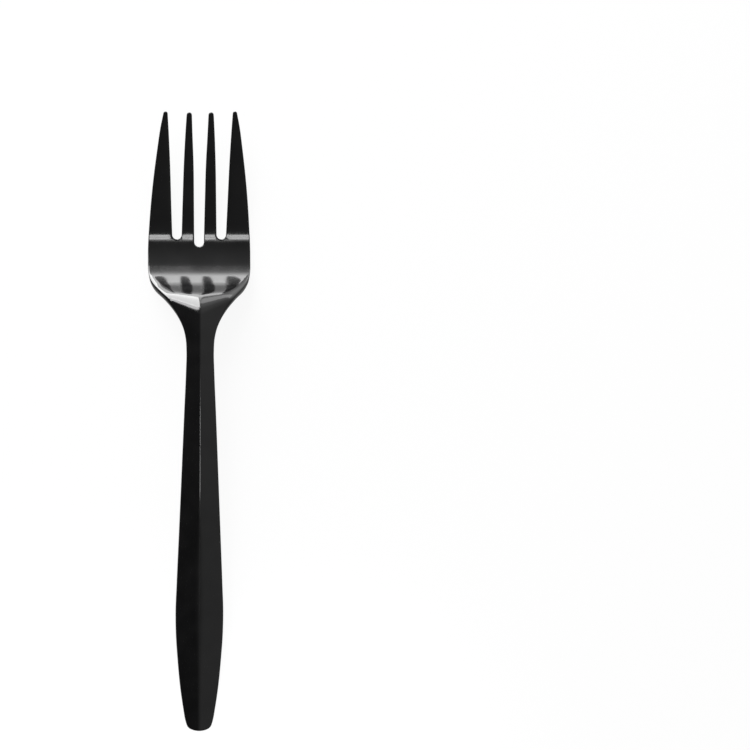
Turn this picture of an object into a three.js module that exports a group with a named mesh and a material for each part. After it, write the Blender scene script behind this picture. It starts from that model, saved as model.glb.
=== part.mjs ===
import * as THREE from "three";
import { mergeVertices } from "three/addons/utils/BufferGeometryUtils.js";

// A disposable table fork, moulded in one shot. It lies as it comes to rest, on the bend below its
// bowl and on the end of its handle, with the hollow side up. Sizes are in millimetres.
// s is the distance back from the points of the tines, and x the distance from the centre line.

const LENGTH = 165;
const HEAD_LENGTH = 60;
const alongHandle = (share) => HEAD_LENGTH + share * (LENGTH - HEAD_LENGTH);

// Side view: the tines slope down to the bowl, a short floor rises gently from there, and a steep
// back wall runs up under the neck in three bends. Each bend is its distance back, the angle beyond
// it and the radius of its arc. Angles are in degrees from the table.
const TINE_ANGLE = 16.5;
const BENDS = [[35.1, 13.5, 22], [42.48, 40, 6.57], [44.7, 45.3, 29], [46.33, 55, 8]];
const WALL_FROM = 42.45;

// The neck and handle have a roof-shaped top. Its ridge arches over the neck, then runs straight
// down to the handle's end, and is rounder where the handle is broad. Heights are above the point
// where the lines of the tines and the bowl floor meet.
const RIDGE_TOP = 10.9;
const RIDGE_TOP_AT = 54;
const RIDGE_END = 1.26;
const RIDGE_STRAIGHT_FROM = alongHandle(0.48);
const FACET_ANGLE = 15;
const RIDGE_SOFTNESS = [
  [RIDGE_TOP_AT, 0.25], [alongHandle(0.43), 0.3], [alongHandle(0.67), 0.9], [alongHandle(0.84), 0.5],
  [LENGTH, 0.35],
];

// The roof falls away round the shoulders of the neck. The crest between it and the back wall is an
// arc, large in the middle and sharper towards the sides.
const SHOULDER_FALL = 0.6;
const FALL_CENTRE = 56;
const FALL_FROM = 9.6;
const FALL_SOFTNESS = 2;
const CREST_RADIUS = 7.7;
const CREST_SHARP_AT = 14;

// Wall thickness, measured square to the surface, as distance back and thickness.
const THICKNESS = [[0, 1.3], [12, 1.55], [32, 1.8], [48, 1.7], [LENGTH, 1.7]];
const TOP_EDGE_RADIUS = 0.2;
const SHOULDER_EDGE_RADIUS = 1;
const SHOULDER_EDGE = [44, 48.5, 51, 57];
const BOTTOM_EDGE_RADIUS = 0.3;
const TINE_CROWN_RADIUS = 25;
const CROWN_FADES = [22, 31];

// Plan view, as distance back and distance from the centre line.
const OUTER_EDGE = [
  [0.6, 9.86], [4, 10.53], [10, 11.37], [20, 12.53], [30, 13.3], [39, 13.64], [43.4, 13.48],
  [46, 12.86], [48, 11.67], [50.2, 9.43], [53, 7.08], [57, 4.8], [alongHandle(0.005), 3.88],
  [alongHandle(0.038), 3.67], [alongHandle(0.09), 3.8], [alongHandle(0.19), 4.24],
  [alongHandle(0.476), 5.46], [alongHandle(0.629), 6.12], [alongHandle(0.695), 6.37],
  [alongHandle(0.752), 6.27], [alongHandle(0.819), 5.79], [alongHandle(0.893), 5.02],
  [alongHandle(0.944), 4.23], [alongHandle(0.97), 3.75], [alongHandle(0.992), 3.08],
];
const OUTER_TINE_INNER_EDGE = [[0.6, 8.65], [6, 8.3], [14, 7.88], [24, 7.5], [33, 7.15]];
const INNER_TINE_OUTER_EDGE = [[0.7, 3.62], [6, 3.92], [14, 4.25], [24, 4.48], [33, 4.65]];
const INNER_TINE_INNER_EDGE = [[0.7, 2.2], [6, 1.99], [14, 1.63], [24, 1.44], [35, 1.275]];
const MIDDLE_SLOT_END = 36.05;
const MIDDLE_SLOT_RADIUS = 1.275;
const OUTER_SLOT_END = 34.05;
const OUTER_SLOT_RADIUS = 1.25;
const OUTER_SLOT_CENTRE = 5.9;
const INNER_TIP_AT = 0.95;
const INNER_TIP_RADIUS = 0.7;
const OUTER_TIP_RADIUS = 0.6;
const HANDLE_END_RADIUS = 5.3;
const HANDLE_CORNER_CUT = 0.8;

const rad = THREE.MathUtils.degToRad;

// A smooth curve through a few points.
function curve(points) {
  const slope = (a, b) => (b[1] - a[1]) / (b[0] - a[0]);
  const tangents = points.map((p, i) => {
    if (i === 0) return slope(p, points[1]);
    if (i === points.length - 1) return slope(points[i - 1], p);
    const before = p[0] - points[i - 1][0];
    const after = points[i + 1][0] - p[0];
    return (slope(points[i - 1], p) * after + slope(p, points[i + 1]) * before) / (before + after);
  });
  return (s) => {
    let i = 0;
    while (i < points.length - 2 && s > points[i + 1][0]) i += 1;
    const [s0, v0] = points[i];
    const [s1, v1] = points[i + 1];
    const span = s1 - s0;
    const t = (s - s0) / span;
    const bend = t * t * (3 - 2 * t);
    const lean = span * (tangents[i] * t * (1 - t) ** 2 - tangents[i + 1] * t * t * (1 - t));
    return v0 + (v1 - v0) * bend + lean;
  };
}

const outerEdge = curve(OUTER_EDGE);
const outerTineInnerEdge = curve(OUTER_TINE_INNER_EDGE);
const innerTineOuterEdge = curve(INNER_TINE_OUTER_EDGE);
const innerTineInnerEdge = curve(INNER_TINE_INNER_EDGE);
const thickness = curve(THICKNESS);
const ridgeSoftness = curve(RIDGE_SOFTNESS);

// The top of the tines, bowl floor and back wall, which is the same right across the fork: straight
// lines joined by arcs.
function bowlHeight(s) {
  let at = BENDS[0][0];
  let height = 0;
  let before = rad(-TINE_ANGLE);
  let profile = (s - at) * Math.tan(before);
  BENDS.forEach(([bendAt, angle, radius]) => {
    const after = rad(angle);
    height += (bendAt - at) * Math.tan(before);
    at = bendAt;
    const reach = radius * Math.tan((after - before) / 2);
    const from = at - reach * Math.cos(before);
    const centreS = from - radius * Math.sin(before);
    const centreZ = height - reach * Math.sin(before) + radius * Math.cos(before);
    if (s > at + reach * Math.cos(after)) profile = height + (s - at) * Math.tan(after);
    else if (s > from) profile = centreZ - Math.sqrt(radius ** 2 - (s - centreS) ** 2);
    before = after;
  });
  return profile;
}

// The ridge of the handle, the two facets that fall away from it, and the fall round the shoulders.
function roofHeight(x, s) {
  const drop = (at) => {
    const arched = Math.min(at, RIDGE_STRAIGHT_FROM) - RIDGE_TOP_AT;
    return arched ** 2 / 2 + arched * Math.max(at - RIDGE_STRAIGHT_FROM, 0);
  };
  const ridge = RIDGE_TOP - ((RIDGE_TOP - RIDGE_END) * drop(s)) / drop(LENGTH);
  const softness = ridgeSoftness(Math.max(s, RIDGE_SOFTNESS[0][0]));
  const facet = (Math.hypot(x, softness) - softness) * Math.tan(rad(FACET_ANGLE));
  const beyond = Math.max(Math.hypot(x, Math.max(FALL_CENTRE - s, 0)) - FALL_FROM, 0);
  const soft = Math.min(beyond, FALL_SOFTNESS);
  return ridge - facet - SHOULDER_FALL * (beyond - soft + soft ** 2 / (2 * FALL_SOFTNESS));
}

// The bowl's back wall runs up to the roof of the neck, over the arc of the crest.
function skinHeight(x, s) {
  const bowl = bowlHeight(s);
  if (s < WALL_FROM) return bowl;
  const roof = roofHeight(x, s);
  const wallAngle = rad(BENDS[BENDS.length - 1][1]);
  const radius = CREST_RADIUS * Math.max(1 - Math.abs(x) / CREST_SHARP_AT, 0.02);
  const arcEnd = radius * Math.tan(wallAngle / 2);
  const past = (bowl - roof) / Math.tan(wallAngle);
  if (past < arcEnd - radius * Math.sin(wallAngle)) return bowl;
  if (past > arcEnd) return roof;
  return roof + Math.sqrt(radius ** 2 - (past - arcEnd) ** 2) - radius;
}

// Each tine is slightly crowned across its width.
function crown(x, s) {
  const away = Math.abs(x);
  const inner = away < OUTER_SLOT_CENTRE;
  const centre = inner
    ? (innerTineInnerEdge(s) + innerTineOuterEdge(s)) / 2
    : (outerTineInnerEdge(s) + outerEdge(s)) / 2;
  const left = 1 - THREE.MathUtils.smoothstep(s, CROWN_FADES[0], CROWN_FADES[1]);
  return (left * (away - centre) ** 2) / (2 * TINE_CROWN_RADIUS);
}

function topHeight(x, s) {
  return skinHeight(x, s) - (s < CROWN_FADES[1] ? crown(x, s) : 0);
}

// The top edge is rounder round the shoulders of the bowl.
function topEdgeRadius(s) {
  const [start, full, falling, end] = SHOULDER_EDGE;
  const shoulder = THREE.MathUtils.smoothstep(s, start, full) - THREE.MathUtils.smoothstep(s, falling, end);
  return TOP_EDGE_RADIUS + (SHOULDER_EDGE_RADIUS - TOP_EDGE_RADIUS) * shoulder;
}

const bottomEdgeRadius = () => BOTTOM_EDGE_RADIUS;

function bottomHeight(x, s) {
  const step = 0.05;
  const alongSlope = (skinHeight(x, s + step) - skinHeight(x, s - step)) / (2 * step);
  const acrossSlope = (skinHeight(x + step, s) - skinHeight(x - step, s)) / (2 * step);
  return skinHeight(x, s) - thickness(s) * Math.hypot(1, alongSlope, acrossSlope);
}

// One stretch of the plan outline of the fork's right half. place gives a point for a value from
// 0 to 1, and marks are the values that become corners of the surface. The outline runs with the
// plastic on its right, so the way out is to its left.
function stretch(place, marks) {
  return marks.map((t) => {
    const [x, s] = place(t);
    const [x0, s0] = place(t - 1e-4);
    const [x1, s1] = place(t + 1e-4);
    const long = Math.hypot(x1 - x0, s1 - s0);
    return { x, s, outX: (s1 - s0) / long, outS: (x0 - x1) / long };
  });
}

const evenly = (count) => Array.from({ length: count + 1 }, (_, i) => i / count);

function arc(centreX, centreS, radius, fromAngle, toAngle, count) {
  const place = (t) => {
    const angle = rad(fromAngle + (toAngle - fromAngle) * t);
    return [centreX + radius * Math.cos(angle), centreS + radius * Math.sin(angle)];
  };
  return stretch(place, evenly(count));
}

function edge(across, distances) {
  const from = distances[0];
  const to = distances[distances.length - 1];
  const place = (t) => {
    const s = from + (to - from) * t;
    return [across(s), s];
  };
  return stretch(place, distances.map((s) => (s - from) / (to - from)));
}

// Distances back at which the surface has a row of corners, closer where it bends.
const TINE_ROWS = [0, 0.05, 0.12, 0.23, 0.36, 0.5, 0.65, 0.78, 0.87, 0.94, 1];
const HEAD_END = 40.5;
const BODY_ROWS = [
  41.4, 42.2, 42.9, 43.5, 44.1, 44.7, 45.3, 46, 46.8, 47.6, 48.4, 49.2, 50, 50.6, 51.1, 51.6, 52.1, 52.6,
  53.1, 53.7, 54.4, 55.3, 56.4, 57.6, 58.8,
  ...[0, 0.014, 0.03, 0.05, 0.076, 0.114, 0.162, 0.219, 0.286, 0.352, 0.419, 0.486, 0.552, 0.61, 0.657,
    0.695, 0.729, 0.762, 0.8, 0.838, 0.876, 0.91, 0.938, 0.962].map(alongHandle),
];
const TIP_STEPS = 3;
const SLOT_STEPS = 2;
const HEAD_STEPS = 7;
const MIDDLE_COLUMNS = 3;
const INNER_COLUMNS = 4;
const SLOT_COLUMNS = 3;
const OUTER_COLUMNS = 4;
const END_STEPS = 3;
const CORNER_STEPS = 2;
const EDGE_STEPS = 3;

// The soft corner between the side of the handle and its curved end.
function handleCorner() {
  const centreS = LENGTH - HANDLE_END_RADIUS;
  let s = LENGTH - 1;
  for (let i = 0; i < 30; i += 1) s = centreS + Math.sqrt(HANDLE_END_RADIUS ** 2 - outerEdge(s) ** 2);
  const angle = Math.acos(outerEdge(s) / HANDLE_END_RADIUS) + HANDLE_CORNER_CUT / HANDLE_END_RADIUS;
  const from = s - HANDLE_CORNER_CUT;
  const ends = [
    [outerEdge(from), from],
    [outerEdge(s), s],
    [HANDLE_END_RADIUS * Math.cos(angle), centreS + HANDLE_END_RADIUS * Math.sin(angle)],
  ];
  const place = (t) => [0, 1].map((i) => (
    ends[0][i] * (1 - t) ** 2 + 2 * ends[1][i] * t * (1 - t) + ends[2][i] * t * t));
  return { place, from, angle: THREE.MathUtils.radToDeg(angle), centreS };
}

// The right half of the outline, in order from the bottom of the middle slot to the handle's end.
function halfOutline() {
  const middleAt = MIDDLE_SLOT_END - MIDDLE_SLOT_RADIUS;
  const outerAt = OUTER_SLOT_END - OUTER_SLOT_RADIUS;
  const down = (tip, end) => TINE_ROWS.map((share) => tip + share * (end - tip));
  const up = (tip, end) => down(tip, end).reverse();
  const innerTipX = (innerTineInnerEdge(INNER_TIP_AT) + innerTineOuterEdge(INNER_TIP_AT)) / 2;
  const outerTipX = (outerTineInnerEdge(OUTER_TIP_RADIUS) + outerEdge(OUTER_TIP_RADIUS)) / 2;
  const slotArc = (from, to, count) => (
    arc(OUTER_SLOT_CENTRE, outerAt, OUTER_SLOT_RADIUS, from, to, count));
  const belowTines = evenly(SLOT_STEPS + HEAD_STEPS).map((t) => outerAt + t * (HEAD_END - outerAt));
  const corner = handleCorner();
  const endFrom = BODY_ROWS[BODY_ROWS.length - 1];
  const endSteps = evenly(END_STEPS).map((t) => endFrom + t * (corner.from - endFrom));
  const cornerMarks = evenly(2 * CORNER_STEPS);
  const columns = MIDDLE_COLUMNS + INNER_COLUMNS + SLOT_COLUMNS + OUTER_COLUMNS;
  const parts = {
    middleBottom: arc(0, middleAt, MIDDLE_SLOT_RADIUS, 90, 45, MIDDLE_COLUMNS),
    middleSide: arc(0, middleAt, MIDDLE_SLOT_RADIUS, 45, 0, SLOT_STEPS),
    innerIn: edge(innerTineInnerEdge, up(INNER_TIP_AT, middleAt)),
    innerTipIn: arc(innerTipX, INNER_TIP_AT, INNER_TIP_RADIUS, 180, 270, TIP_STEPS),
    innerTipOut: arc(innerTipX, INNER_TIP_AT, INNER_TIP_RADIUS, 270, 360, TIP_STEPS),
    innerOut: edge(innerTineOuterEdge, down(INNER_TIP_AT, outerAt)),
    slotLeft: slotArc(180, 135, SLOT_STEPS),
    slotBottom: slotArc(135, 45, SLOT_COLUMNS),
    slotRight: slotArc(45, 0, SLOT_STEPS),
    outerIn: edge(outerTineInnerEdge, up(OUTER_TIP_RADIUS, outerAt)),
    outerTipIn: arc(outerTipX, OUTER_TIP_RADIUS, OUTER_TIP_RADIUS, 180, 270, TIP_STEPS),
    outerTipOut: arc(outerTipX, OUTER_TIP_RADIUS, OUTER_TIP_RADIUS, 270, 360, TIP_STEPS),
    outerOut: edge(outerEdge, down(OUTER_TIP_RADIUS, outerAt)),
    headSide: edge(outerEdge, belowTines),
    bodySide: edge(outerEdge, [HEAD_END, ...BODY_ROWS]),
    endSide: edge(outerEdge, endSteps),
    cornerSide: stretch(corner.place, cornerMarks.slice(0, CORNER_STEPS + 1)),
    cornerEnd: stretch(corner.place, cornerMarks.slice(CORNER_STEPS)),
    end: arc(0, corner.centreS, HANDLE_END_RADIUS, corner.angle, 90, columns - CORNER_STEPS),
  };
  const inOrder = Object.values(parts);
  inOrder.slice(1).forEach((part, i) => {
    part[0] = inOrder[i][inOrder[i].length - 1];
  });
  [parts.middleBottom[0], parts.end[parts.end.length - 1]].forEach((point) => {
    point.x = 0;
    point.outX = 0;
  });
  return parts;
}

// The plan outline moved in from the edge, as [x, s].
const inset = (point, by) => [point.x - point.outX * by, point.s - point.outS * by];
const mix = (a, b, t) => [a[0] + (b[0] - a[0]) * t, a[1] + (b[1] - a[1]) * t];
const across = (a, b, count) => evenly(count).map((t) => mix(a, b, t));

// Rows of plan points that fill the right half of the fork, moved in from its edge by the radius that
// rounds it. Each patch is a list of rows, from the tines to the handle, and each row runs outwards
// from the centre line.
function halfPatches(outline, edgeRadius) {
  const join = (parts) => parts.flatMap((part, i) => (i ? part.slice(1) : part));
  const moveIn = (p) => inset(p, edgeRadius(p.s));
  const line = (...parts) => join(parts).map(moveIn);
  const fallTo = (from) => evenly(HEAD_STEPS).map((t) => mix(from, [from[0], HEAD_END], t));
  const withFall = (points) => [...points, ...fallTo(points[points.length - 1]).slice(1)];
  const up = (...parts) => line(...parts.map((part) => [...part].reverse()));
  const innerLeft = withFall(up(outline.innerTipIn, outline.innerIn, outline.middleSide));
  const innerRight = withFall(line(outline.innerTipOut, outline.innerOut, outline.slotLeft));
  const outerLeft = withFall(up(outline.outerTipIn, outline.outerIn, outline.slotRight));
  const outerRight = line(outline.outerTipOut, outline.outerOut, outline.headSide);
  const innerTine = innerLeft.map((p, i) => across(p, innerRight[i], INNER_COLUMNS));
  const outerTine = outerLeft.map((p, i) => across(p, outerRight[i], OUTER_COLUMNS));
  const belowSlot = (bottom) => {
    const falls = bottom.map((p) => fallTo(moveIn(p)));
    return evenly(HEAD_STEPS).map((_, i) => falls.map((fall) => fall[i]));
  };
  const middle = belowSlot(outline.middleBottom);
  const slot = belowSlot(outline.slotBottom);
  const last = (rows) => rows[rows.length - 1];
  const headRow = [...last(middle), ...last(innerTine).slice(1), ...last(slot).slice(1),
    ...last(outerTine).slice(1)];
  const width = last(headRow)[0];
  const body = line(outline.bodySide).map((right, i) => {
    if (i === 0) return headRow;
    const s = outline.bodySide[i].s;
    return headRow.map(([x]) => [(x / width) * right[0], s + (right[1] - s) * (x / width) ** 3]);
  });
  const side = line(outline.endSide, outline.cornerSide);
  const end = line(outline.cornerEnd, outline.end).reverse();
  const start = last(body);
  const handleEnd = side.map((right, i) => {
    const t = i / (side.length - 1);
    const centre = mix(start[0], end[0], t);
    return start.map((from, j) => {
      const u = j / (start.length - 1);
      const sides = mix(centre, right, u);
      const ends = mix(from, end[j], t);
      const corners = mix(mix(start[0], last(start), u), mix(end[0], last(end), u), t);
      return [0, 1].map((k) => sides[k] + ends[k] - corners[k]);
    });
  });
  return [innerTine, outerTine, middle, slot, body, handleEnd];
}

// The fork's edge at one point of the outline: a rounded top, the side wall and a softer bottom.
function edgeProfile(point) {
  const level = (edgeRadius, t, height, sign) => {
    const radius = edgeRadius(point.s);
    const [x, s] = inset(point, radius * (1 - Math.sin(t)));
    return [x, s, height(x, s) - sign * radius * (1 - Math.cos(t))];
  };
  const angles = evenly(EDGE_STEPS).map((t) => (t * Math.PI) / 2);
  const top = angles.map((t) => level(topEdgeRadius, t, topHeight, 1));
  const bottom = angles.map((t) => level(bottomEdgeRadius, t, bottomHeight, -1));
  return [...top, ...bottom.reverse()];
}

// Every triangle of the right half is made with its mirror image in the left half.
function forkGeometry() {
  const outline = halfOutline();
  const corners = [];
  const same = (a, b) => Math.hypot(a[0] - b[0], a[1] - b[1], a[2] - b[2]) < 1e-6;
  const triangle = (a, b, c) => {
    if (same(a, b) || same(b, c) || same(a, c)) return;
    const place = ([x, s, z]) => [x, LENGTH / 2 - s, z];
    const mirror = ([x, s, z]) => [-x, LENGTH / 2 - s, z];
    corners.push(...place(a), ...place(b), ...place(c), ...mirror(a), ...mirror(c), ...mirror(b));
  };
  const grid = (rows, clockwise) => {
    rows.slice(1).forEach((row, i) => {
      row.slice(1).forEach((d, j) => {
        const [a, b, c] = [rows[i][j], rows[i][j + 1], row[j]];
        if (clockwise) {
          triangle(a, b, c);
          triangle(b, d, c);
        } else {
          triangle(a, c, b);
          triangle(b, c, d);
        }
      });
    });
  };
  const raise = (patches, height) => (
    patches.map((rows) => rows.map((row) => row.map(([x, s]) => [x, s, height(x, s)]))));
  raise(halfPatches(outline, topEdgeRadius), topHeight).forEach((rows) => grid(rows, false));
  raise(halfPatches(outline, bottomEdgeRadius), bottomHeight).forEach((rows) => grid(rows, true));
  const path = Object.values(outline).flatMap((part, i) => (i ? part.slice(1) : part));
  grid(path.map(edgeProfile), false);
  const geometry = new THREE.BufferGeometry();
  geometry.setAttribute("position", new THREE.Float32BufferAttribute(corners, 3));
  const welded = mergeVertices(geometry, 1e-4);
  welded.computeBoundingBox();
  const box = welded.boundingBox;
  welded.translate(0, -(box.min.y + box.max.y) / 2, -box.min.z);
  welded.computeVertexNormals();
  return welded;
}

const blackPolystyrene = new THREE.MeshStandardMaterial({ color: 0x1c1b1d, roughness: 0.15 });
const fork = new THREE.Mesh(forkGeometry(), blackPolystyrene);
fork.name = "fork";

const group = new THREE.Group();
group.add(fork);
export default group;
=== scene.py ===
import math

import bmesh
import bpy
import numpy as np
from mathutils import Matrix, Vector


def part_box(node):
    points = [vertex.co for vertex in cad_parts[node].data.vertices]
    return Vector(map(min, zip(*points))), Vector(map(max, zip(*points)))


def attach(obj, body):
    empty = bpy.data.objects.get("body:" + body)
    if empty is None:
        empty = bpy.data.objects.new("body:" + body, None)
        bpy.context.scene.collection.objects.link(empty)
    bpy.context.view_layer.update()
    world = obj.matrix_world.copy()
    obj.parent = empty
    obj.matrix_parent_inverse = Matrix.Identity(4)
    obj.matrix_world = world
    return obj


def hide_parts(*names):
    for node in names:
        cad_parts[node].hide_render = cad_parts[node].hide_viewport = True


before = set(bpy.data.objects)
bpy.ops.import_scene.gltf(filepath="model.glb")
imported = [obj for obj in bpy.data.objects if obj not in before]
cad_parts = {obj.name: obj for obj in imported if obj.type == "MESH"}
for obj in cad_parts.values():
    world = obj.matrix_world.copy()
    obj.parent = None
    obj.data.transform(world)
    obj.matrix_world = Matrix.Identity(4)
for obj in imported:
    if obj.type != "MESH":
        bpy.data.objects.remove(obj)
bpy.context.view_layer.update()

# The camera looks down on the fork as it lies on its back, square to its length and leaning a little
# to its left. The fork lies left of the middle of the picture, so the camera stands to its right.
PICTURE_WIDTH = 0.1997
CAMERA_LEAN = math.radians(1.8)
CAMERA_HEIGHT = 0.6
PICTURE_CENTRE = Vector((0.0469, 0.0123, 0))
NEAREST_SEEN = 0.01
FARTHEST_SEEN = 20

camera = bpy.data.objects.new("camera", bpy.data.cameras.new("camera"))
camera.data.type = "ORTHO"
camera.data.ortho_scale = PICTURE_WIDTH
camera.data.clip_start = NEAREST_SEEN
camera.data.clip_end = FARTHEST_SEEN
camera.rotation_euler = (0, -CAMERA_LEAN, 0)
towards_camera = Vector((-math.sin(CAMERA_LEAN), 0, math.cos(CAMERA_LEAN)))
camera.location = PICTURE_CENTRE + CAMERA_HEIGHT * towards_camera
bpy.context.collection.objects.link(camera)
bpy.context.scene.camera = camera

# The fork is one injection moulding in black polystyrene. Seen from the side, its tines slope down
# to the bowl, a short floor rises from there, and a steep back wall runs up under the neck. Sizes are
# in millimetres: s is the distance back from the points of the tines, and x that from the middle.
# Each bend is its distance back, the slope beyond it in degrees and the radius of its arc.
MM = 0.001
LENGTH = 165
HEAD_LENGTH = 60
TINE_ANGLE = 16.5
BENDS = [(35.1, 13.5, 22), (42.48, 40, 6.57), (44.7, 45.3, 29), (46.33, 55, 8)]
WALL_FROM = 42.45


def along_handle(share):
    return HEAD_LENGTH + share * (LENGTH - HEAD_LENGTH)


def smooth_curve(points):
    """A curve through a few points, as a function of the first coordinate."""
    at, value = np.array(points, float).T
    slopes = np.diff(value) / np.diff(at)
    gaps = np.diff(at)
    inner = (slopes[:-1] * gaps[1:] + slopes[1:] * gaps[:-1]) / (gaps[1:] + gaps[:-1])
    tangents = np.concatenate([slopes[:1], inner, slopes[-1:]])

    def curve(s):
        i = np.clip(np.searchsorted(at, s, side="left") - 1, 0, len(at) - 2)
        t = (s - at[i]) / gaps[i]
        rise = (value[i + 1] - value[i]) * t * t * (3 - 2 * t)
        lean = gaps[i] * (tangents[i] * t * (1 - t) ** 2 - tangents[i + 1] * t * t * (1 - t))
        return value[i] + rise + lean

    return curve


def bowl_height(s):
    """The top of the tines, floor and back wall: straight lines joined by arcs."""
    at, height, before = BENDS[0][0], 0, math.radians(-TINE_ANGLE)
    profile = (s - at) * math.tan(before)
    for bend_at, slope, radius in BENDS:
        after = math.radians(slope)
        height += (bend_at - at) * math.tan(before)
        at = bend_at
        reach = radius * math.tan((after - before) / 2)
        start = at - reach * math.cos(before)
        end = at + reach * math.cos(after)
        centre_s = start - radius * math.sin(before)
        centre_z = height - reach * math.sin(before) + radius * math.cos(before)
        arc = centre_z - np.sqrt(np.maximum(radius**2 - (s - centre_s) ** 2, 0))
        profile = np.where(s > start, arc, profile)
        profile = np.where(s > end, height + (s - at) * math.tan(after), profile)
        before = after
    return profile


# The neck and handle have a roof-shaped top: two flat facets that meet in a ridge. The ridge arches
# over the neck, then runs straight down to the handle's end, and is rounder where the handle is broad.
# The roof falls away round the shoulders, and an arc joins it to the back wall in a crest.
RIDGE_TOP = 10.9
RIDGE_TOP_AT = 54
RIDGE_END = 1.26
RIDGE_STRAIGHT_FROM = along_handle(0.48)
FACET_ANGLE = math.radians(15)
SHOULDER_FALL = 0.6
FALL_CENTRE = 56
FALL_FROM = 9.6
FALL_SOFTNESS = 2
CREST_RADIUS = 7.7
CREST_SHARP_AT = 14
ridge_softness = smooth_curve([
    (RIDGE_TOP_AT, 0.25),
    (along_handle(0.43), 0.3),
    (along_handle(0.67), 0.9),
    (along_handle(0.84), 0.5),
    (LENGTH, 0.35),
])


def ridge_drop(s):
    arched = np.minimum(s, RIDGE_STRAIGHT_FROM) - RIDGE_TOP_AT
    return arched**2 / 2 + arched * np.maximum(s - RIDGE_STRAIGHT_FROM, 0)


def roof_height(x, s):
    ridge = RIDGE_TOP - (RIDGE_TOP - RIDGE_END) * ridge_drop(s) / ridge_drop(LENGTH)
    softness = ridge_softness(np.maximum(s, RIDGE_TOP_AT))
    facet = (np.hypot(x, softness) - softness) * math.tan(FACET_ANGLE)
    beyond = np.maximum(np.hypot(x, np.maximum(FALL_CENTRE - s, 0)) - FALL_FROM, 0)
    soft = np.minimum(beyond, FALL_SOFTNESS)
    return ridge - facet - SHOULDER_FALL * (beyond - soft + soft**2 / (2 * FALL_SOFTNESS))


def skin_height(x, s):
    """The bowl's back wall runs up to the roof of the neck, over the arc of the crest."""
    bowl = bowl_height(s)
    roof = roof_height(x, s)
    slope = math.radians(BENDS[-1][1])
    radius = CREST_RADIUS * (1 - abs(x) / CREST_SHARP_AT)
    arc_end = radius * math.tan(slope / 2)
    past = (bowl - roof) / math.tan(slope)
    crest = np.sqrt(np.maximum(radius**2 - (past - arc_end) ** 2, 0)) - radius
    drop = np.where(past < arc_end, crest, 0)
    drop = np.where(past < arc_end - radius * math.sin(slope), bowl - roof, drop)
    return np.where(s < WALL_FROM, bowl, roof + drop)


# Seen from above, four tapered tines stand on a bowl with round shoulders, and the handle swells
# from a narrow neck before it tapers to a shallow curved end. The right half is drawn.
OUTER_SLOT_CENTRE = 5.9
OUTER_SLOT_END = 34.05
OUTER_SLOT_RADIUS = 1.25
MIDDLE_SLOT_END = 36.05
MIDDLE_SLOT_RADIUS = 1.275
INNER_TIP_AT = 0.95
INNER_TIP_RADIUS = 0.7
OUTER_TIP_RADIUS = 0.6
HANDLE_END_RADIUS = 5.3
HANDLE_CORNER_CUT = 0.8
outer_edge = smooth_curve([
    (0.6, 9.86), (4, 10.53), (10, 11.37), (20, 12.53), (30, 13.3), (39, 13.64), (43.4, 13.48),
    (46, 12.86), (48, 11.67), (50.2, 9.43), (53, 7.08), (57, 4.8),
    (along_handle(0.005), 3.88), (along_handle(0.038), 3.67), (along_handle(0.09), 3.8),
    (along_handle(0.19), 4.24),
    (along_handle(0.476), 5.46), (along_handle(0.629), 6.12), (along_handle(0.695), 6.37),
    (along_handle(0.752), 6.27), (along_handle(0.819), 5.79), (along_handle(0.893), 5.02),
    (along_handle(0.944), 4.23), (along_handle(0.97), 3.75), (along_handle(0.992), 3.08),
])
outer_tine_inner_edge = smooth_curve([(0.6, 8.65), (6, 8.3), (14, 7.88), (24, 7.5), (33, 7.15)])
inner_tine_outer_edge = smooth_curve([(0.7, 3.62), (6, 3.92), (14, 4.25), (24, 4.48), (33, 4.65)])
inner_tine_inner_edge = smooth_curve([(0.7, 2.2), (6, 1.99), (14, 1.63), (24, 1.44), (35, 1.275)])

# The plastic is thinner at the points of the tines than at the bowl. Each tine is crowned across its
# width, and its underside is flat.
thickness = smooth_curve([(0, 1.3), (12, 1.55), (32, 1.8), (48, 1.7), (LENGTH, 1.7)])
TINE_CROWN_RADIUS = 25
CROWN_FADES = (22, 31)


def smooth_step(s, start, end):
    t = np.clip((s - start) / (end - start), 0, 1)
    return t * t * (3 - 2 * t)


def top_height(x, s):
    away = abs(x)
    inner_middle = (inner_tine_inner_edge(s) + inner_tine_outer_edge(s)) / 2
    outer_middle = (outer_tine_inner_edge(s) + outer_edge(s)) / 2
    from_middle = away - np.where(away < OUTER_SLOT_CENTRE, inner_middle, outer_middle)
    crown = from_middle**2 / (2 * TINE_CROWN_RADIUS) * (1 - smooth_step(s, *CROWN_FADES))
    return skin_height(x, s) - np.where(s < CROWN_FADES[1], crown, 0)


def bottom_height(x, s):
    step = 0.05
    along = (skin_height(x, s + step) - skin_height(x, s - step)) / (2 * step)
    across = (skin_height(x + step, s) - skin_height(x - step, s)) / (2 * step)
    return skin_height(x, s) - thickness(s) * np.sqrt(1 + along**2 + across**2)


# The outline is followed from the bottom of the middle slot, round both tines of the right half and
# down the side to the middle of the handle's end. Each row holds x, s and the way out of the plastic.
NUDGE = 1e-4


def stretch(place, marks):
    """The rows at these marks along a line, whose direction comes from points just either side."""
    at, before, after = (np.stack(place(marks + shift), 1) for shift in (0, -NUDGE, NUDGE))
    run = after - before
    out = np.stack([run[:, 1], -run[:, 0]], 1) / np.hypot(run[:, 0], run[:, 1])[:, None]
    return np.hstack([at, out])


def arc(centre_x, centre_s, radius, start, end, count):
    def place(t):
        angle = np.radians(start + (end - start) * t)
        return centre_x + radius * np.cos(angle), centre_s + radius * np.sin(angle)

    return stretch(place, np.linspace(0, 1, count + 1))


def side(edge, distances):
    distances = np.asarray(distances, float)
    start, run = distances[0], distances[-1] - distances[0]
    return stretch(lambda t: (edge(start + run * t), start + run * t), (distances - start) / run)


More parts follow.
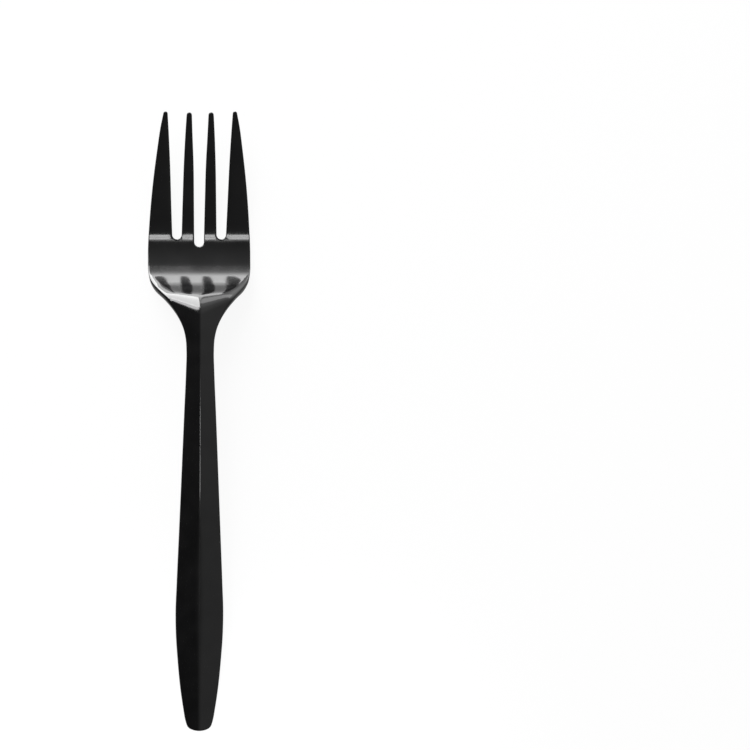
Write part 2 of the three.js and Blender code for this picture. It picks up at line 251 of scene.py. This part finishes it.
TINE_STEPS = 60
TIP_STEPS = 8
SLOT_STEPS = 8
HEAD_STEPS = 22
HEAD_END = 40.5
MIDDLE_COLUMNS = 10
INNER_COLUMNS = 8
SLOT_COLUMNS = 8
OUTER_COLUMNS = 10
END_STEPS = 6
CORNER_STEPS = 5
middle_slot_at = MIDDLE_SLOT_END - MIDDLE_SLOT_RADIUS
outer_slot_at = OUTER_SLOT_END - OUTER_SLOT_RADIUS
inner_tip_x = (inner_tine_inner_edge(INNER_TIP_AT) + inner_tine_outer_edge(INNER_TIP_AT)) / 2
outer_tip_x = (outer_tine_inner_edge(OUTER_TIP_RADIUS) + outer_edge(OUTER_TIP_RADIUS)) / 2
inner_tip = (inner_tip_x, INNER_TIP_AT, INNER_TIP_RADIUS)
outer_tip = (outer_tip_x, OUTER_TIP_RADIUS, OUTER_TIP_RADIUS)
middle_slot = (0, middle_slot_at, MIDDLE_SLOT_RADIUS)
outer_slot = (OUTER_SLOT_CENTRE, outer_slot_at, OUTER_SLOT_RADIUS)

# The sides of the handle run into the arc of its end, and the corner where they meet is cut by a soft
# curve. The corner's place is closed in on from a first guess.
CORNER_GUESS = LENGTH - 1
CLOSING_STEPS = 30
end_centre = LENGTH - HANDLE_END_RADIUS
corner_s = CORNER_GUESS
for _ in range(CLOSING_STEPS):
    corner_s = end_centre + math.sqrt(HANDLE_END_RADIUS**2 - float(outer_edge(corner_s)) ** 2)
end_angle = math.acos(float(outer_edge(corner_s)) / HANDLE_END_RADIUS)
end_angle += HANDLE_CORNER_CUT / HANDLE_END_RADIUS
corner_from = corner_s - HANDLE_CORNER_CUT
corner_points = np.array([
    (float(outer_edge(corner_from)), corner_from),
    (float(outer_edge(corner_s)), corner_s),
    (HANDLE_END_RADIUS * math.cos(end_angle), end_centre + HANDLE_END_RADIUS * math.sin(end_angle)),
])


def handle_corner(t):
    """The soft curve, which leaves along the side and arrives along the arc."""
    weights = np.stack([(1 - t) ** 2, 2 * t * (1 - t), t * t], 1)
    return tuple((weights @ corner_points).T)


BOWL_ROW_GAP = 0.35
HANDLE_ROW_GAP = 0.9
HANDLE_ROWS_END = 161
bowl_rows = np.arange(HEAD_END, HEAD_LENGTH, BOWL_ROW_GAP)
handle_rows = np.arange(HEAD_LENGTH, HANDLE_ROWS_END, HANDLE_ROW_GAP)
body_rows = np.concatenate([bowl_rows, handle_rows])
columns = MIDDLE_COLUMNS + INNER_COLUMNS + SLOT_COLUMNS + OUTER_COLUMNS
outline = {
    "middle_bottom": arc(*middle_slot, 90, 45, MIDDLE_COLUMNS),
    "middle_side": arc(*middle_slot, 45, 0, SLOT_STEPS),
    "inner_in": side(inner_tine_inner_edge, np.linspace(middle_slot_at, INNER_TIP_AT, TINE_STEPS)),
    "inner_tip_in": arc(*inner_tip, 180, 270, TIP_STEPS),
    "inner_tip_out": arc(*inner_tip, 270, 360, TIP_STEPS),
    "inner_out": side(inner_tine_outer_edge, np.linspace(INNER_TIP_AT, outer_slot_at, TINE_STEPS)),
    "slot_left": arc(*outer_slot, 180, 135, SLOT_STEPS),
    "slot_bottom": arc(*outer_slot, 135, 45, SLOT_COLUMNS),
    "slot_right": arc(*outer_slot, 45, 0, SLOT_STEPS),
    "outer_in": side(outer_tine_inner_edge, np.linspace(outer_slot_at, OUTER_TIP_RADIUS, TINE_STEPS)),
    "outer_tip_in": arc(*outer_tip, 180, 270, TIP_STEPS),
    "outer_tip_out": arc(*outer_tip, 270, 360, TIP_STEPS),
    "outer_out": side(outer_edge, np.linspace(OUTER_TIP_RADIUS, outer_slot_at, TINE_STEPS)),
    "head_side": side(outer_edge, np.linspace(outer_slot_at, HEAD_END, SLOT_STEPS + HEAD_STEPS + 1)),
    "body_side": side(outer_edge, body_rows),
    "end_side": side(outer_edge, np.linspace(body_rows[-1], corner_from, END_STEPS + 1)),
    "corner_side": stretch(handle_corner, np.linspace(0, 0.5, CORNER_STEPS + 1)),
    "corner_end": stretch(handle_corner, np.linspace(0.5, 1, CORNER_STEPS + 1)),
    "end": arc(0, end_centre, HANDLE_END_RADIUS, math.degrees(end_angle), 90, columns - CORNER_STEPS),
}

# The first and last points lie on the middle line, and neighbouring stretches share a point.
outline["middle_bottom"][0, [0, 2]] = 0
outline["end"][-1, [0, 2]] = 0
stretches = list(outline.values())
for earlier, later in zip(stretches, stretches[1:]):
    later[0] = earlier[-1]


# A fine line of flash runs all round the fork where the two halves of the mould met. The outline is
# that of the flash, and the wall stands in from it.
FLASH = 0.015
FLASH_BEAD = 0.013


def inset(rows, by):
    return rows[:, :2] - rows[:, 2:] * np.reshape(by + FLASH, (-1, 1))


# The top and bottom are filled with rows of points between the edges, moved in by the radius that
# rounds them. Rows run outwards from the middle line, with their points closer together towards the
# edge of the outer tine.
OUTER_CROWDING = 1.7


def joined(*parts):
    return np.vstack([part if i == 0 else part[1:] for i, part in enumerate(parts)])


def between(left, right, count, crowding=1):
    """Points across each row, closer together towards the right where the crowding is over 1."""
    t = 1 - np.linspace(1, 0, count + 1)[None, :, None] ** crowding
    return left[:, None] * (1 - t) + right[:, None] * t


def fall(points):
    """Lines straight back from these points to the end of the head."""
    points = np.atleast_2d(points)
    return between(points, np.stack([points[:, 0], np.full(len(points), HEAD_END)], 1), HEAD_STEPS)


def half_patches(edge_radius):
    """The patches of the right half. The last, at the handle's end, is blended from its four edges."""
    def line(*names, back=False):
        rows = joined(*[outline[name][::-1] if back else outline[name] for name in names])
        return inset(rows, edge_radius(rows[:, 1]))

    def with_fall(points):
        return joined(points, fall(points[-1])[0])

    inner_left = with_fall(line("inner_tip_in", "inner_in", "middle_side", back=True))
    inner_right = with_fall(line("inner_tip_out", "inner_out", "slot_left"))
    outer_left = with_fall(line("outer_tip_in", "outer_in", "slot_right", back=True))
    inner_tine = between(inner_left, inner_right, INNER_COLUMNS)
    outer_right = line("outer_tip_out", "outer_out", "head_side")
    outer_tine = between(outer_left, outer_right, OUTER_COLUMNS, crowding=OUTER_CROWDING)
    middle = fall(line("middle_bottom")).transpose(1, 0, 2)
    slot = fall(line("slot_bottom")).transpose(1, 0, 2)
    head_row = joined(middle[-1], inner_tine[-1], slot[-1], outer_tine[-1])

    share = head_row[:, 0] / head_row[-1, 0]
    right = line("body_side")
    body = np.empty((len(right), len(head_row), 2))
    body[..., 0] = right[:, :1] * share
    body[..., 1] = body_rows[:, None] + (right[:, 1] - body_rows)[:, None] * share**3
    body[0] = head_row

    right = line("end_side", "corner_side")
    start = body[-1]
    end = line("corner_end", "end")[::-1]
    t = np.linspace(0, 1, len(right))[:, None, None]
    u = np.linspace(0, 1, len(start))[None, :, None]
    sides = (start[0] * (1 - t) + end[0] * t) * (1 - u) + right[:, None] * u
    ends = start * (1 - t) + end * t
    corners = (start[0] * (1 - u) + start[-1] * u) * (1 - t) + (end[0] * (1 - u) + end[-1] * u) * t
    return [inner_tine, outer_tine, middle, slot, body, sides + ends - corners]


# The edge is rounded at the top, most round the shoulders of the bowl, and less at the bottom. The
# flash runs round the middle of the side wall.
TOP_EDGE_RADIUS = 0.2
SHOULDER_EDGE_RADIUS = 1.0
SHOULDER_EDGE = (44, 48.5, 51, 57)
BOTTOM_EDGE_RADIUS = 0.3
EDGE_STEPS = 6
FLASH_AT = 0.5
WALL_LEVELS = (0.36, 0.44, FLASH_AT, 0.56, 0.64)


def top_edge_radius(s):
    start, full, falling, end = SHOULDER_EDGE
    shoulder = smooth_step(s, start, full) - smooth_step(s, falling, end)
    return TOP_EDGE_RADIUS + (SHOULDER_EDGE_RADIUS - TOP_EDGE_RADIUS) * shoulder


def bottom_edge_radius(s):
    return np.full_like(s, BOTTOM_EDGE_RADIUS)


def rim():
    """The rounded top edge, the side wall with its flash and the rounded bottom edge."""
    path = joined(*stretches)

    def level(edge_radius, angle, height, sign):
        radius = edge_radius(path[:, 1])
        x, s = inset(path, radius * (1 - math.sin(angle))).T
        return np.stack([x, s, height(x, s) - sign * radius * (1 - math.cos(angle))], 1)

    angles = np.linspace(0, math.pi / 2, EDGE_STEPS + 1)
    top = [level(top_edge_radius, angle, top_height, 1) for angle in angles]
    bottom = [level(bottom_edge_radius, angle, bottom_height, -1) for angle in angles[::-1]]
    wall = []
    for share in WALL_LEVELS:
        ring = top[-1] * (1 - share) + bottom[0] * share
        if share == FLASH_AT:
            ring[:, :2] += path[:, 2:] * FLASH_BEAD
        wall.append(ring)
    return np.stack(top + wall + bottom, 1)


def raised(patch, height):
    x, s = patch[..., 0], patch[..., 1]
    return np.stack([x, s, height(x, s)], -1)


corners = []
faces = []


def add_grid(rows, clockwise):
    """Four-sided faces between neighbouring rows, with their mirror image in the left half."""
    for mirror in (1, -1):
        first = sum(len(block) for block in corners)
        place = rows * (mirror, -1, 1) + (0, LENGTH / 2, 0)
        corners.append(place.reshape(-1, 3) * MM)
        index = first + np.arange(rows.shape[0] * rows.shape[1]).reshape(rows.shape[:2])
        quads = np.stack([index[:-1, :-1], index[1:, :-1], index[1:, 1:], index[:-1, 1:]], -1)
        quads = quads.reshape(-1, 4)
        turned = clockwise if mirror == 1 else not clockwise
        faces.append(quads[:, ::-1] if turned else quads)


for patch in half_patches(top_edge_radius):
    add_grid(raised(patch, top_height), clockwise=False)
for patch in half_patches(bottom_edge_radius):
    add_grid(raised(patch, bottom_height), clockwise=True)
add_grid(rim(), clockwise=False)

# Points that coincide where the patches and halves meet are welded, so that the skin is closed.
WELD_GAP = 1e-6
skin = bpy.data.meshes.new("moulded_fork")
skin.from_pydata(np.vstack(corners).tolist(), [], np.vstack(faces).tolist())
welding = bmesh.new()
welding.from_mesh(skin)
bmesh.ops.remove_doubles(welding, verts=welding.verts, dist=WELD_GAP)
welding.to_mesh(skin)
welding.free()
skin.shade_smooth()

# It lies where the solid does, on the bend below the bowl and on the handle's end, and its crest is
# as high as the solid's.
floor, crest = (corner[2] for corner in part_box("fork"))
heights = [vertex.co.z for vertex in skin.vertices]
low, high = min(heights), max(heights)
for vertex in skin.vertices:
    vertex.co.z = floor + (vertex.co.z - low) * (crest - floor) / (high - low)

fork = bpy.data.objects.new("moulded_fork", skin)
bpy.context.collection.objects.link(fork)
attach(fork, "root")
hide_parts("fork")

# Its finish is that of a polished mould: a deep black with a clear gloss. The skin is a little wavy
# where the plastic shrank, with faint drag marks along its length. Patch sizes and heights are in
# metres, and each kind of patch is drawn out along the axes by three factors.
BLACK = (0.002, 0.002, 0.0021, 1)
GREYED_BLACK = (0.0032, 0.0032, 0.0033, 1)
TONE_PATCH = 0.006
POLYSTYRENE_IOR = 1.59
SMOOTHEST = 0.06
ROUGHEST = 0.1
SHEEN_PATCH = 0.004
SHEEN_DRAWN = (1, 4, 1)
WAVE_LENGTH = 0.012
WAVE_DRAWN = (1, 1.6, 1)
WAVE_HEIGHT = 0.00003
MARK_WIDTH = 0.00025
MARK_DRAWN = (1, 40, 1)
MARK_HEIGHT = 0.000002
MARK_STRENGTH = 0.5
CLOUD_LOW = 0.35
CLOUD_HIGH = 0.65

plastic = bpy.data.materials.new("black_polystyrene")
plastic.use_nodes = True
nodes = plastic.node_tree.nodes
links = plastic.node_tree.links
shader = nodes["Principled BSDF"]
shader.inputs["IOR"].default_value = POLYSTYRENE_IOR
on_fork = nodes.new("ShaderNodeTexCoord").outputs["Object"]


def cloud(size, drawn=(1, 1, 1), detail=2.0):
    """Soft random patches of about this size."""
    scaling = nodes.new("ShaderNodeVectorMath")
    scaling.operation = "MULTIPLY"
    scaling.inputs[1].default_value = [1 / (size * factor) for factor in drawn]
    links.new(on_fork, scaling.inputs[0])
    noise = nodes.new("ShaderNodeTexNoise")
    noise.inputs["Scale"].default_value = 1
    noise.inputs["Detail"].default_value = detail
    links.new(scaling.outputs["Vector"], noise.inputs["Vector"])
    return noise.outputs["Fac"]


def spread(value, low, high):
    """The middle of a cloud's range, spread between two values."""
    mapping = nodes.new("ShaderNodeMapRange")
    mapping.inputs["From Min"].default_value = CLOUD_LOW
    mapping.inputs["From Max"].default_value = CLOUD_HIGH
    mapping.inputs["To Min"].default_value = low
    mapping.inputs["To Max"].default_value = high
    links.new(value, mapping.inputs["Value"])
    return mapping.outputs["Result"]


tone = nodes.new("ShaderNodeMix")
tone.data_type = "RGBA"
tone.inputs["A"].default_value = BLACK
tone.inputs["B"].default_value = GREYED_BLACK
links.new(spread(cloud(TONE_PATCH), 0, 1), tone.inputs["Factor"])
links.new(tone.outputs["Result"], shader.inputs["Base Color"])
sheen = spread(cloud(SHEEN_PATCH, SHEEN_DRAWN), SMOOTHEST, ROUGHEST)
links.new(sheen, shader.inputs["Roughness"])

waves = nodes.new("ShaderNodeBump")
waves.inputs["Strength"].default_value = 1
waves.inputs["Distance"].default_value = WAVE_HEIGHT
links.new(cloud(WAVE_LENGTH, WAVE_DRAWN, detail=0), waves.inputs["Height"])
marks = nodes.new("ShaderNodeBump")
marks.inputs["Strength"].default_value = MARK_STRENGTH
marks.inputs["Distance"].default_value = MARK_HEIGHT
links.new(cloud(MARK_WIDTH, MARK_DRAWN), marks.inputs["Height"])
links.new(waves.outputs["Normal"], marks.inputs["Normal"])
links.new(marks.outputs["Normal"], shader.inputs["Normal"])
fork.data.materials.append(plastic)

# The table is plain, white and polished. The camera and the fork's gloss see most of it as lit
# paper. The rest of its light is left to the lamps, so that it keeps the fork's soft shadow, and its
# polish shows the softboxes to the bowl's back wall at a glancing angle.
TABLE_SIZE = 8
TABLE_COLOUR = (0.9, 0.9, 0.9, 1)
TABLE_ROUGHNESS = 0.9
PAPER_SHARE = 0.95
POLISH_IOR = 1.5
POLISH_ROUGHNESS = 0.1

table = bpy.data.objects.new("table", bpy.data.meshes.new("table"))
half_table = TABLE_SIZE / 2
table.data.from_pydata(
    [(-half_table, -half_table, 0), (half_table, -half_table, 0), (half_table, half_table, 0),
     (-half_table, half_table, 0)], [], [(0, 1, 2, 3)])
bpy.context.collection.objects.link(table)
white = bpy.data.materials.new("white_table")
white.use_nodes = True
table_nodes = white.node_tree.nodes
table_links = white.node_tree.links
table_shader = table_nodes["Principled BSDF"]
table_shader.inputs["Base Color"].default_value = TABLE_COLOUR
table_shader.inputs["Roughness"].default_value = TABLE_ROUGHNESS
table_shader.inputs["Specular IOR Level"].default_value = 0
rays = table_nodes.new("ShaderNodeLightPath")
seen = table_nodes.new("ShaderNodeMath")
seen.operation = "MAXIMUM"
table_links.new(rays.outputs["Is Camera Ray"], seen.inputs[0])
table_links.new(rays.outputs["Is Glossy Ray"], seen.inputs[1])
share = table_nodes.new("ShaderNodeMath")
share.operation = "MULTIPLY"
share.inputs[1].default_value = PAPER_SHARE
table_links.new(seen.outputs["Value"], share.inputs[0])
paper = table_nodes.new("ShaderNodeEmission")
paper.inputs["Strength"].default_value = 1
mixing = table_nodes.new("ShaderNodeMixShader")
table_links.new(share.outputs["Value"], mixing.inputs["Fac"])
table_links.new(table_shader.outputs["BSDF"], mixing.inputs[1])
table_links.new(paper.outputs["Emission"], mixing.inputs[2])
polish = table_nodes.new("ShaderNodeBsdfAnisotropic")
polish.inputs["Roughness"].default_value = POLISH_ROUGHNESS
glance = table_nodes.new("ShaderNodeFresnel")
glance.inputs["IOR"].default_value = POLISH_IOR
polished = table_nodes.new("ShaderNodeMixShader")
table_links.new(glance.outputs["Fac"], polished.inputs["Fac"])
table_links.new(mixing.outputs["Shader"], polished.inputs[1])
table_links.new(polish.outputs["BSDF"], polished.inputs[2])
table_links.new(polished.outputs["Shader"], table_nodes["Material Output"].inputs["Surface"])
table.data.materials.append(white)


# A wide softbox stands beyond the tines, which show against it in the bowl's back wall. It is made of
# layers that all start at the table, each with its height and radiance, so it is brightest low down.
WIDE_LAYERS = ((0.25, 1.5), (0.35, 1.5), (0.47, 1.3), (0.6, 1.3), (0.78, 0.8), (1.02, 0.3))
WIDE_MIDDLE = -0.72
WIDE_BEYOND = 1.3
WIDE_LAYER_GAP = 0.01
WIDE_WIDTH = 1.66


def softbox(name, centre, aim, width, height, radiance):
    lamp = bpy.data.lights.new(name, "AREA")
    lamp.shape = "RECTANGLE"
    lamp.size = width
    lamp.size_y = height
    lamp.energy = radiance * math.pi * width * height
    holder = bpy.data.objects.new(name, lamp)
    holder.location = centre
    holder.rotation_euler = (Vector(aim) - Vector(centre)).to_track_quat("-Z", "Y").to_euler()
    bpy.context.collection.objects.link(holder)


for layer, (height, radiance) in enumerate(WIDE_LAYERS):
    centre = Vector((WIDE_MIDDLE, WIDE_BEYOND + WIDE_LAYER_GAP * layer, height / 2))
    softbox("wide_softbox", centre, centre - Vector((0, 1, 0)), WIDE_WIDTH, height, radiance)

# A tall softbox and a high one on the left light the crest on that side, and a weak one lights it on
# the right. Each has its centre, the point that it faces, its width, height and radiance.
SOFTBOXES = (
    ("tall_softbox", (-0.544, 0.9, 0.82), (-0.544, 0, 0.82), 1.06, 1.26, 12),
    ("high_softbox", (-0.456, 0.456, 1.012), (0, 0, 0), 0.52, 0.24, 9),
    ("right_softbox", (0.36, 0.95, 0.56), (0, 0, 0), 0.56, 0.5, 2.4),
)
for values in SOFTBOXES:
    softbox(*values)

# Strips hang overhead, a little towards the handle. They draw the line along the ridge and the band
# across the roots of the tines. Each has its place along the fork, its breadth and its radiance.
STRIP_HEIGHT = 1
STRIP_LENGTH = 0.18
STRIPS = (
    ("far_strip", -0.1885, 0.061, 8.5),
    ("near_strip", -0.124, 0.0555, 8.5),
    ("faint_strip", -0.076, 0.04, 1.2),
)
for name, along, breadth, radiance in STRIPS:
    softbox(name, (0, along, STRIP_HEIGHT), (0, along, 0), STRIP_LENGTH, breadth, radiance)

# The room is dim on the left, brighter on the right and brightest beyond the tines. Each stop is the
# Y or X part of a direction, from -1 to 1, and the share of the room's light there.
ROOM_LIGHT = 3.3
ROOM_LENGTHWISE = (
    (-0.9, 0.07), (-0.5, 0.095), (-0.15, 0.125), (0, 0.145), (0.4, 0.29), (0.69, 0.75), (0.86, 1),
)
ROOM_SIDEWAYS = ((-0.4, 0.1), (-0.12, 0.36), (0.12, 0.46), (0.45, 0.79))

world = bpy.data.worlds.new("room")
bpy.context.scene.world = world
world.use_nodes = True
room = world.node_tree.nodes
room_links = world.node_tree.links
direction = room.new("ShaderNodeSeparateXYZ")
room_links.new(room.new("ShaderNodeTexCoord").outputs["Generated"], direction.inputs["Vector"])


def ramp(value, stops):
    """The share of the light that these stops give for one part of the direction."""
    to_unit = room.new("ShaderNodeMapRange")
    to_unit.inputs["From Min"].default_value = -1
    room_links.new(value, to_unit.inputs["Value"])
    colours = room.new("ShaderNodeValToRGB")
    elements = colours.color_ramp.elements
    while len(elements) < len(stops):
        elements.new(0.5)
    for element, (at, level) in zip(elements, stops):
        element.position = (at + 1) / 2
        element.color = (level, level, level, 1)
    room_links.new(to_unit.outputs["Result"], colours.inputs["Fac"])
    return colours.outputs["Color"]


lengthwise = ramp(direction.outputs["Y"], ROOM_LENGTHWISE)
sideways = ramp(direction.outputs["X"], ROOM_SIDEWAYS)
shape = room.new("ShaderNodeMath")
shape.operation = "MULTIPLY"
room_links.new(lengthwise, shape.inputs[0])
room_links.new(sideways, shape.inputs[1])
strength = room.new("ShaderNodeMath")
strength.operation = "MULTIPLY"
strength.inputs[1].default_value = ROOM_LIGHT
room_links.new(shape.outputs["Value"], strength.inputs[0])
room_links.new(strength.outputs["Value"], room["Background"].inputs["Strength"])
room["Background"].inputs["Color"].default_value = (1, 1, 1, 1)
bpy.context.scene.view_settings.view_transform = "Standard"
